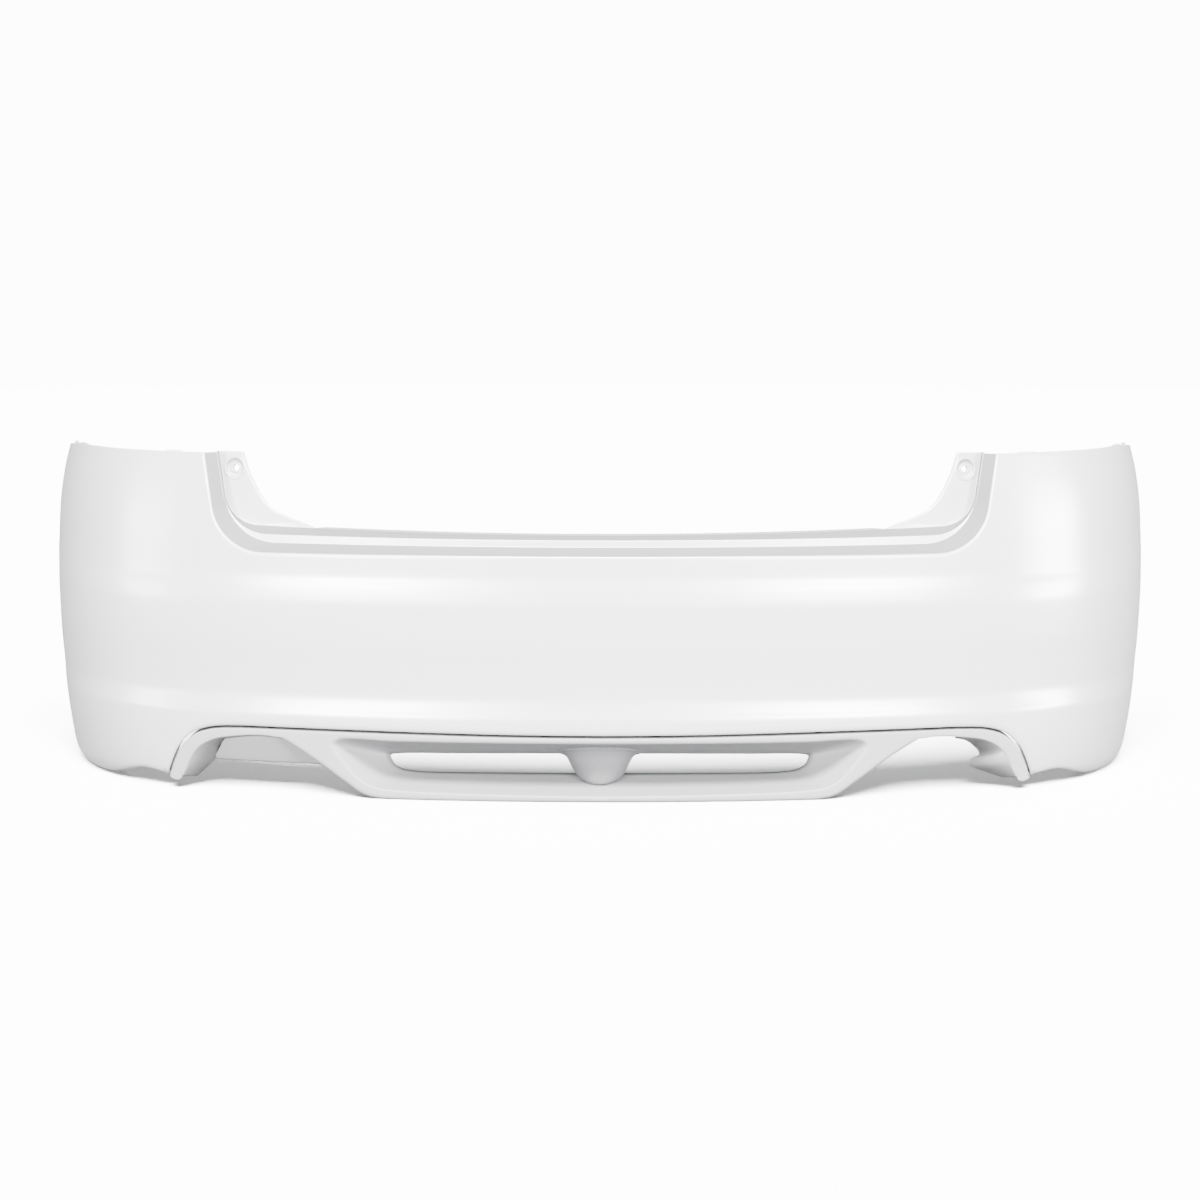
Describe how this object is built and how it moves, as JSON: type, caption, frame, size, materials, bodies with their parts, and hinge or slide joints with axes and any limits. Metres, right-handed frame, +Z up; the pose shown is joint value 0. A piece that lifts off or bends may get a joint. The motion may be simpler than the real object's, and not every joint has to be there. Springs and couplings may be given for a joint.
{
  "type": "rear bumper cover",
  "caption": "Rear bumper cover with a boot-lid recess, a separate lower valance with a slotted mouth and centre fin, and one open exhaust cut-out.",
  "frame": {"origin": "on the floor under the middle of the bounding box", "axes": "+Z up, rear face towards -Y, wings towards +Y, +X to the right seen from behind"},
  "size_m": [1.75, 0.62, 0.505],
  "materials": {
    "cover_plastic": "satin unpainted, fine mould grain",
    "valance_plastic": "satin unpainted, fine mould grain",
    "retainer_plastic": "satin moulded",
    "rivet_plastic": "moulded nylon",
    "rivet_pin_plastic": "moulded nylon",
    "zinc_steel": "zinc plated",
    "spring_steel": "phosphated spring steel"
  },
  "bodies": {
    "cover": {"main_cover": "cover_plastic", "lower_valance": "valance_plastic", "left_cutout_blank": "valance_plastic", "centre_fin": "valance_plastic", "valance_screws": "zinc_steel", "valance_spring_nuts": "spring_steel", "push_rivet_bodies": "rivet_plastic", "fin_screws": "zinc_steel", "side_retainer_left": "retainer_plastic", "retainer_screws_left": "zinc_steel", "arch_spring_nuts_left": "spring_steel", "side_retainer_right": "retainer_plastic", "retainer_screws_right": "zinc_steel", "arch_spring_nuts_right": "spring_steel"},
    "pin_left_outer": {"push_rivet_pin_left_outer": "rivet_pin_plastic"},
    "pin_left_inner": {"push_rivet_pin_left_inner": "rivet_pin_plastic"},
    "pin_right_inner": {"push_rivet_pin_right_inner": "rivet_pin_plastic"},
    "pin_right_outer": {"push_rivet_pin_right_outer": "rivet_pin_plastic"}
  },
  "joints": [
    {"name": "pin_left_outer_pull", "type": "slide", "parent": "cover", "child": "pin_left_outer", "axis": [0, 0, 1], "range_m": [0, 0.006]},
    {"name": "pin_left_inner_pull", "type": "slide", "parent": "cover", "child": "pin_left_inner", "axis": [0, 0, 1], "range_m": [0, 0.006]},
    {"name": "pin_right_inner_pull", "type": "slide", "parent": "cover", "child": "pin_right_inner", "axis": [0, 0, 1], "range_m": [0, 0.006]},
    {"name": "pin_right_outer_pull", "type": "slide", "parent": "cover", "child": "pin_right_outer", "axis": [0, 0, 1], "range_m": [0, 0.006]}
  ]
}
